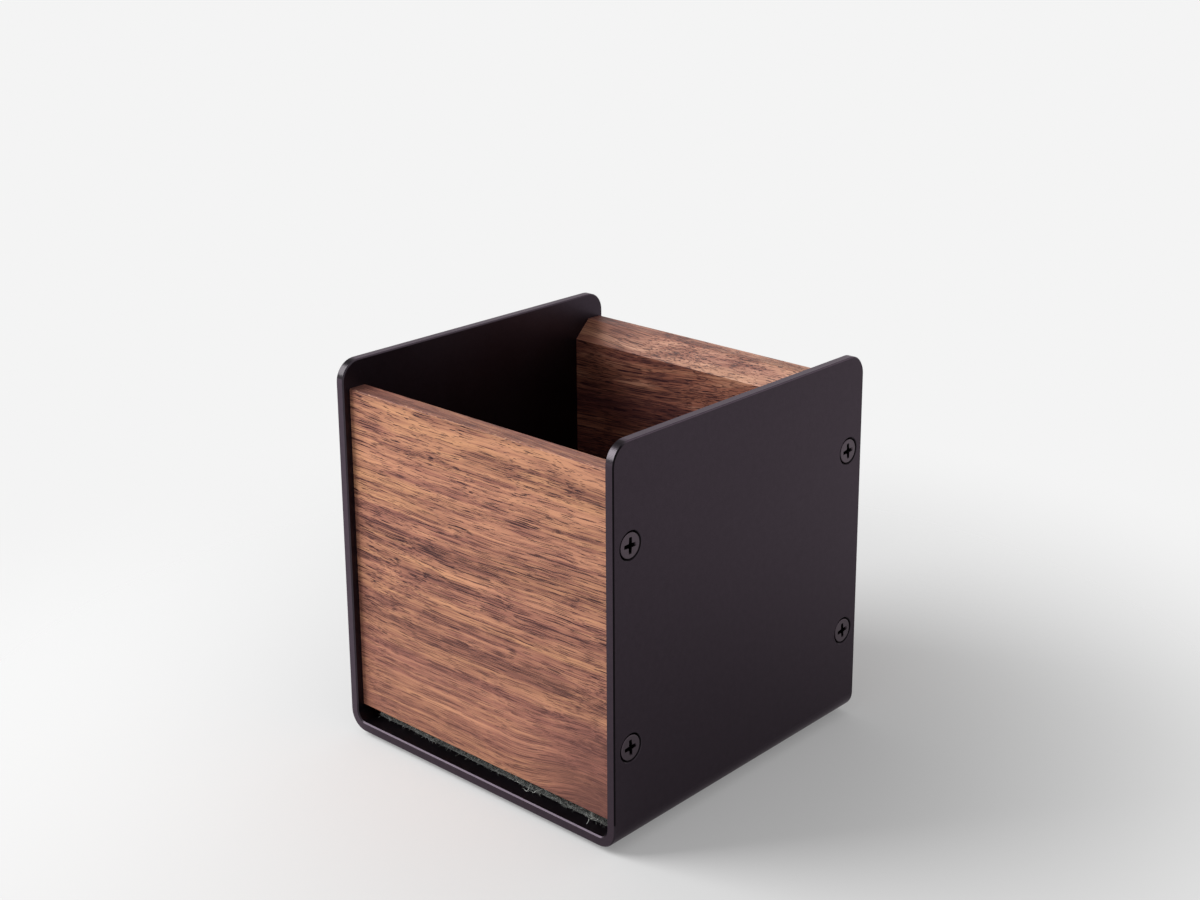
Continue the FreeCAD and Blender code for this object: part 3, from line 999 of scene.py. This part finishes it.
@dataclass
class FeltLiner:
    """The loose felt square on the base, with the fibres that stand out of its cut edges.

    Sizes are in millimetres.
    """

    half_width: float = 39.8
    half_depth: float = 40.15
    # The hand-cut front and back edges: how far the felt reaches past its half depth there, its
    # skew, and its wobble's height, pace and row in the noise.
    front_cut: tuple[float, ...] = (-0.3, -0.5, 0.22, 0.12, 3.1)
    back_cut: tuple[float, ...] = (0.0, 0.15, 0.20, 0.11, -7.4)
    bottom: float = 3.7
    top: float = 6.65
    swells: tuple[Span, ...] = ((0.12, 0.09), (0.09, 1.1))
    sink: float = 0.08
    edge_round: float = 0.8
    pitch: float = 0.5
    rim_steps: tuple[float, ...] = (0.0, 0.06, 0.16, 0.30, 0.48, 0.70, 0.95, 1.25, 1.6)
    side_levels: tuple[float, ...] = (0.78, 0.5, 0.22, 0.06, 0.0)
    # The cut edge: how far it bulges, its ripple's height and pace, and its tuck at the foot.
    bulge: float = 0.16
    ripple: Span = (0.14, 1.7)
    tuck: float = -0.15
    edge_band: float = 1.2
    slack: float = 0.01
    widest: float = 39.95
    cut_flat: Span = (0.0798, 0.0807)
    # Where the boards stand over it, near and far side of each, and what fibres stay within.
    board_bounds: tuple[float, ...] = (-43.0, -33.4, 34.6, 44.2)
    ceiling: float = 7.12
    open_ceiling: float = 8.2
    floor: float = 3.76
    fibre_reach: float = 40.6
    wander: float = 0.5
    edge_fibres: Fibres = Fibres(4300, (0.0, 2.4), (0.026, 0.056), 0.55, (0, 0.75), (-0.35, 0.55))
    side_fibres: Fibres = Fibres(2400, (0.4, 1.1), (0.018, 0.036), 0.6, (0, 0.8), (0.5, 0.4))
    top_fibres: Fibres = Fibres(5200, (0.8, 2.4), (0.018, 0.034), 0.5)
    curls: Fibres = Fibres(18, (3.4, 6.4), (0.058, 0.058), 0.9, (0, 0.7), (-0.4, 0.3), 14)
    # The edge fibres' usual length, as the mean and spread of its logarithm, and their clumps.
    edge_length: Span = (-0.25, 0.45)
    clump_pace: Triple = (0.7, 0.6, 3.0)
    clump_gain: float = 0.9
    top_rise: Span = (0.05, 0.5)
    # Where fibres root: margins from the edges, depths below the skin, and heights, which are
    # above the bottom, below the top and, for the edges, the usual one below the top.
    margin: float = 0.5
    edge_margin: float = 0.2
    front_margin: float = 0.9
    root_depth: float = 0.12
    side_root: float = 0.1
    edge_heights: Triple = (0.3, 0.15, 0.9)
    side_heights: Span = (0.5, 0.15)
    side_lean: float = 0.4
    # The curls crowd by the right edge: their start, usual distance from it, and farthest.
    curl_start: float = 1.5
    curl_spread: float = 16.0
    curl_limit: float = 70.0
    curl_depth: Span = (0.6, 1.8)
    chance: random.Random = field(default_factory=lambda: random.Random(SEED))
    felt: WoolFelt = WoolFelt("pressed_wool_felt", 1.1, 5.0, 0.7, ("161916", "434943"))
    fibre: WoolFelt = WoolFelt(
        "loose_wool_fibre", 0.9, 5.0, 0.7, ("1E221F", "C9CDC8"), (0.40, 0.66)
    )
    stray: WoolFelt = WoolFelt("stray_wool_fibre", 1.1, 5.0, 0.7, ("7C827D", "F0F2EC"))

    def build(self) -> None:
        """Makes the felt and its fibres, hangs them on the root body and hides the CAD felt liner.
        """
        slab = self.slab()
        loose, stray = self.fibre.material(), self.stray.material()
        front, back = (partial(self.edge_fibre, side) for side in Side)
        fuzz = [
            self.fuzz(*parts)
            for parts in (
                ("felt_fuzz_front", self.edge_fibres, front, loose),
                ("felt_fuzz_back", self.edge_fibres, back, loose),
                ("felt_fuzz_sides", self.side_fibres, self.side_fibre, loose),
                ("felt_fuzz_top", self.top_fibres, self.top_fibre, loose),
                ("felt_stray_curls", self.curls, self.curl, stray),
            )
        ]
        for piece in (slab, *fuzz):
            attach(piece, "root")
            LOG.info("%s built", piece.name)
        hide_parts("felt_liner")

    def edge(self, side: Side, x: float) -> float:
        """Where the front or the back edge lies.

        Args:
            side: Which edge.
            x: The place along it, in millimetres.

        Returns:
            The edge's y in millimetres.
        """
        sign, cut = (-1, self.front_cut) if side is Side.FRONT else (1, self.back_cut)
        reach, skew, height, pace, row = cut
        wobble = height * noise.noise(Vector((x * pace, row, 0.0)))
        return sign * self.half_depth + reach + skew * x / self.half_width + wobble

    def steps(self) -> list[float]:
        """Places from edge to edge, close together near both edges.

        Returns:
            Shares of the way across, from 0 to 1.
        """
        span, near = 2 * self.half_width, self.rim_steps
        inner = span - 2 * near[-1]
        count = round(inner / self.pitch)
        middle = [near[-1] + inner / count * step for step in range(1, count)]
        far = [span - value for value in reversed(near)]
        return [value / span for value in (*near, *middle, *far)]

    def slab(self) -> Piece:
        """Makes the felt itself, a closed mesh with rounded, uneven edges.

        Returns:
            The new object.
        """
        shares = self.steps()
        size = len(shares)
        spots = [self.top_spot(across, along) for along in shares for across in shares]
        faces = [
            (start, start + 1, start + size + 1, start + size)
            for row in range(size - 1)
            for start in range(row * size, row * size + size - 1)
        ]
        far_left, far_right = size * size - size, size * size - 1
        rim = [*range(size - 1), *range(size - 1, far_right, size)]
        rim += [*range(far_right, far_left, -1), *range(far_left, 0, -size)]
        loop = rim
        for level in self.side_levels:
            below = list(range(len(spots), len(spots) + len(rim)))
            spots += [self.side_spot(spots[index], level) for index in rim]
            faces += zip(loop, below, below[1:] + below[:1], loop[1:] + loop[:1])
            loop = below
        faces.append(tuple(reversed(loop)))
        piece = new_mesh("felt_sheet", [spot * MM for spot in spots], faces, self.felt.material())
        for face in piece.data.polygons:
            face.use_smooth = len(face.vertices) == 4
        return piece

    def top_spot(self, across: float, along: float) -> Vector:
        """One point of the felt's upper face.

        Args:
            across: Share of the way from the left edge to the right.
            along: Share of the way from the front edge to the back.

        Returns:
            The point in millimetres.
        """
        x = (2 * across - 1) * self.half_width
        front, back = (self.edge(side, x) for side in Side)
        y = front + (back - front) * along
        inward = min(self.half_width - abs(x), y - front, back - y)
        lean = max(0.0, 1 - inward / self.edge_round)
        drop = self.edge_round * (1 - math.sqrt(max(0.0, 1 - lean * lean)))
        place = Vector((x, y, 0.0))
        swell = sum(height * noise.noise(place * pace) for height, pace in self.swells)
        return Vector((x, y, self.top - drop + swell - self.sink))

    def side_spot(self, upper: Vector, level: float) -> Vector:
        """One point of the felt's cut edge, under a point of its upper rim.

        Args:
            upper: The rim's point in millimetres.
            level: Height as a share of the rim's height.

        Returns:
            The point in millimetres.
        """
        height = self.bottom + (upper.z - self.bottom) * level
        place = Vector((upper.x, upper.y, height))
        rise, pace = self.ripple
        push = self.bulge * math.sin(math.pi * level) + rise * noise.noise(place * pace)
        if level == 0.0:
            push = self.tuck
        away = Vector()
        if abs(upper.x) > self.half_width - self.slack:
            away.x = math.copysign(0.5, upper.x)
        elif abs(upper.y) > self.half_depth - self.edge_band:
            away.y = math.copysign(1.0, upper.y)
        spot = place + away * push
        spot.x = clamp(spot.x, -self.widest, self.widest)
        return spot

    def fuzz(self, name: str, kind: Fibres, start: Callable[[], Start], wool: Material) -> Piece:
        """All the fibres of one piece.

        Args:
            name: The piece's name.
            kind: The kind of fibre.
            start: Gives one fibre's root, its first direction and its length, in millimetres.
            wool: The fibres' material.

        Returns:
            The new object.
        """
        spots, faces = [], []
        thin, thick = kind.radius
        for _ in range(kind.count):
            root, way, length = start()
            radius = self.chance.uniform(thin, thick) if thin < thick else thin
            line = self.grow(root, way, length, kind)
            more_spots, more_faces = strand(line, radius * MM, len(spots))
            spots += more_spots
            faces += more_faces
        return new_mesh(name, spots, faces, wool)

    def grow(self, root: Vector, way: Vector, length: float, kind: Fibres) -> list[Vector]:
        """The line of one fibre, which wanders and stays clear of the base and the boards.

        Args:
            root: Where it starts, in millimetres.
            way: The direction in which it starts.
            length: Its length in millimetres.
            kind: The kind of fibre.

        Returns:
            Its points, in metres.
        """
        front_near, front_far, back_near, back_far = self.board_bounds
        way = way.normalized()
        turn = Vector([self.chance.gauss(0, 1) for _ in range(3)])
        line = [root.copy()]
        for _ in range(kind.steps):
            bend = Vector([self.chance.gauss(0, 1) for _ in range(3)]) * self.wander
            way = (way + (turn.cross(way) + bend) * kind.curl * 0.5).normalized()
            spot = line[-1] + way * (length / kind.steps)
            covered = front_near < spot.y < front_far or back_near < spot.y < back_far
            spot.z = clamp(spot.z, self.floor, self.ceiling if covered else self.open_ceiling)
            spot.x = clamp(spot.x, -self.fibre_reach, self.fibre_reach)
            line.append(spot)
        return [spot * MM for spot in line]

    def curl(self) -> Start:
        """Starts a long pale curl that hangs out of the front edge, near the right wall.

        Returns:
            Its root, its direction and its length.
        """
        chance, kind = self.chance, self.curls
        inward = min(self.curl_limit, chance.expovariate(1 / self.curl_spread))
        x = self.half_width - self.curl_start - inward
        z = self.top - chance.uniform(*self.curl_depth)
        way = Vector((chance.gauss(*kind.along), -1.0, chance.gauss(*kind.upwards)))
        return Vector((x, self.edge(Side.FRONT, x), z)), way, chance.uniform(*kind.length)

    def edge_fibre(self, side: Side) -> Start:
        """Starts a fibre that stands out of the front or the back edge.

        Args:
            side: Which edge.

        Returns:
            Its root, its direction and its length.
        """
        chance, kind = self.chance, self.edge_fibres
        sign = -1.0 if side is Side.FRONT else 1.0
        reach = self.half_width - self.edge_margin
        above, below, usual = self.edge_heights
        x = chance.uniform(-reach, reach)
        z = chance.triangular(self.bottom + above, self.top - below, self.top - usual)
        x_pace, z_pace, row = self.clump_pace
        clump = noise.noise(Vector((x * x_pace, z * z_pace, sign * row)))
        length = chance.lognormvariate(*self.edge_length) * (1.0 + self.clump_gain * clump)
        way = Vector((chance.gauss(*kind.along), sign, chance.gauss(*kind.upwards)))
        root = Vector((x, self.edge(side, x) - sign * self.root_depth, z))
        return root, way, min(kind.length[1], length)

    def side_fibre(self) -> Start:
        """Starts a short fibre that stands out of the left or the right edge.

        Returns:
            Its root, its direction and its length.
        """
        chance, kind = self.chance, self.side_fibres
        reach = self.half_depth - self.margin
        above, below = self.side_heights
        sign = chance.choice((-1.0, 1.0))
        y = chance.uniform(-reach, reach)
        z = chance.uniform(self.bottom + above, self.top - below)
        root = Vector((sign * (self.half_width - self.side_root), y, z))
        along, upwards = chance.gauss(*kind.along), chance.gauss(*kind.upwards)
        way = Vector((sign * self.side_lean, along, upwards))
        return root, way, chance.uniform(*kind.length)

    def top_fibre(self) -> Start:
        """Starts a fibre that lies on the upper face.

        Returns:
            Its root, its direction and its length.
        """
        chance, kind = self.chance, self.top_fibres
        reach = self.half_width - self.margin
        front, back = -self.half_depth + self.front_margin, self.half_depth - self.margin
        x, y = chance.uniform(-reach, reach), chance.uniform(front, back)
        turn = chance.uniform(0, math.tau)
        way = Vector((math.cos(turn), math.sin(turn), chance.uniform(*self.top_rise)))
        root = Vector((x, y, self.top - self.root_depth))
        return root, way, chance.uniform(*kind.length)


@dataclass(frozen=True)
class PaleFloor(Finish):
    """Matt pale board, veiled by the backdrop's light and faded into it. Lengths are in metres."""

    name: str = "pale_floor"
    albedo: str = "E6E6E6"
    fade: Span = (0.06, 0.24)
    veil: float = 0.22

    def shader(self) -> Node:
        """Makes the floor's surface.

        Returns:
            The shader.
        """
        nodes = self.nodes
        reach = nodes.add("VectorMath", nodes.place, operation="LENGTH")
        fade = nodes.add("MapRange", reach, *self.fade, interpolation_type="SMOOTHSTEP")
        paint = nodes.add("BsdfDiffuse", linear(self.albedo))
        share = nodes.add("Math", nodes.seen, self.veil, operation="MULTIPLY")
        surface = nodes.add("MixShader", share, paint, nodes.add("Emission", linear(BACKDROP)))
        return nodes.add("MixShader", fade, surface, nodes.add("BsdfTransparent"))


@dataclass
class Studio:
    """A pale floor, a soft lamp and the camera. Nothing here is part of the object."""

    floor: PaleFloor = PaleFloor()
    floor_radius: float = 1.2
    floor_sides: int = 96
    sky_strength: float = 0.40
    # The key softbox: degrees from the front towards the right, degrees up, metres and watts. It
    # stands at the front left, near enough for its light to fall off across the cup.
    key_azimuth_deg: float = -50.0
    key_elevation_deg: float = 32.0
    key_reach: float = 0.58
    key_size: float = 0.36
    key_power: float = 3.6
    target: Triple = (0.0, 0.0, 0.05)
    eye: Triple = (0.29166, -0.31022, 0.22712)
    azimuth_deg: float = 39.814
    elevation_deg: float = 15.992
    roll_deg: float = 0.587
    focal_px: float = 1846.35
    axis_px: Span = (708.79, 325.53)
    image_px: tuple[int, int] = (1200, 900)
    sensor_mm: float = 36.0
    clip_start: float = 0.01

    def build(self) -> None:
        """Sets up the world, the floor, the lamp and the camera."""
        self.set_world()
        self.add_floor()
        self.add_key()
        self.add_camera()
        bpy.context.scene.view_settings.view_transform = "Standard"
        LOG.info("studio ready")

    def set_world(self) -> None:
        """A plain sky that the camera and shiny surfaces see as the pale backdrop."""
        world = bpy.data.worlds.new("studio")
        bpy.context.scene.world = world
        world.use_nodes = True
        nodes = Nodes(world.node_tree)
        lamp = nodes.add("Background", (1.0, 1.0, 1.0, 1.0), self.sky_strength)
        shown = nodes.add("Background", linear(BACKDROP), 1.0)
        nodes.add("OutputWorld", nodes.add("MixShader", nodes.seen, lamp, shown))

    def add_floor(self) -> None:
        """A round pale floor that fades into the backdrop."""
        bpy.ops.object.select_all(action="DESELECT")
        bpy.ops.mesh.primitive_circle_add(
            vertices=self.floor_sides, radius=self.floor_radius, fill_type="NGON"
        )
        floor = bpy.context.object
        floor.name = "floor"
        dress(floor, self.floor.material())

    def add_key(self) -> None:
        """One square softbox that points at the object."""
        turn, rise = math.radians(self.key_azimuth_deg), math.radians(self.key_elevation_deg)
        away = Vector(
            (math.sin(turn) * math.cos(rise), -math.cos(turn) * math.cos(rise), math.sin(rise))
        )
        lamp = bpy.data.lights.new("key", "AREA")
        lamp.shape = "SQUARE"
        lamp.size = self.key_size
        lamp.energy = self.key_power
        holder = new_object("key", lamp)
        holder.location = Vector(self.target) + away * self.key_reach
        holder.rotation_euler = away.to_track_quat("Z", "Y").to_euler()

    def add_camera(self) -> None:
        """The camera: where it stands, how it is turned, and its lens and shift."""
        camera = bpy.data.cameras.new("camera")
        width, height = self.image_px
        camera.sensor_fit = "HORIZONTAL"
        camera.sensor_width = self.sensor_mm
        camera.lens = self.focal_px / width * camera.sensor_width
        camera.shift_x = (width / 2 - self.axis_px[0]) / width
        camera.shift_y = (self.axis_px[1] - height / 2) / width
        camera.clip_start = self.clip_start
        holder = new_object("camera", camera)
        turn, tilt, roll = (
            Matrix.Rotation(math.radians(angle), 4, axis)
            for angle, axis in (
                (self.azimuth_deg, "Z"),
                (90 - self.elevation_deg, "X"),
                (self.roll_deg, "Z"),
            )
        )
        holder.matrix_world = Matrix.Translation(self.eye) @ turn @ tilt @ roll
        bpy.context.scene.camera = holder


def main() -> None:
    """Builds every sub-assembly in order, then the studio."""
    logging.basicConfig(level=logging.INFO, format="%(name)s: %(message)s")
    for part in (Shell(), Boards(), FeltLiner(), Screws(), Feet(), Studio()):
        part.build()


if __name__ == "__main__":
    main()
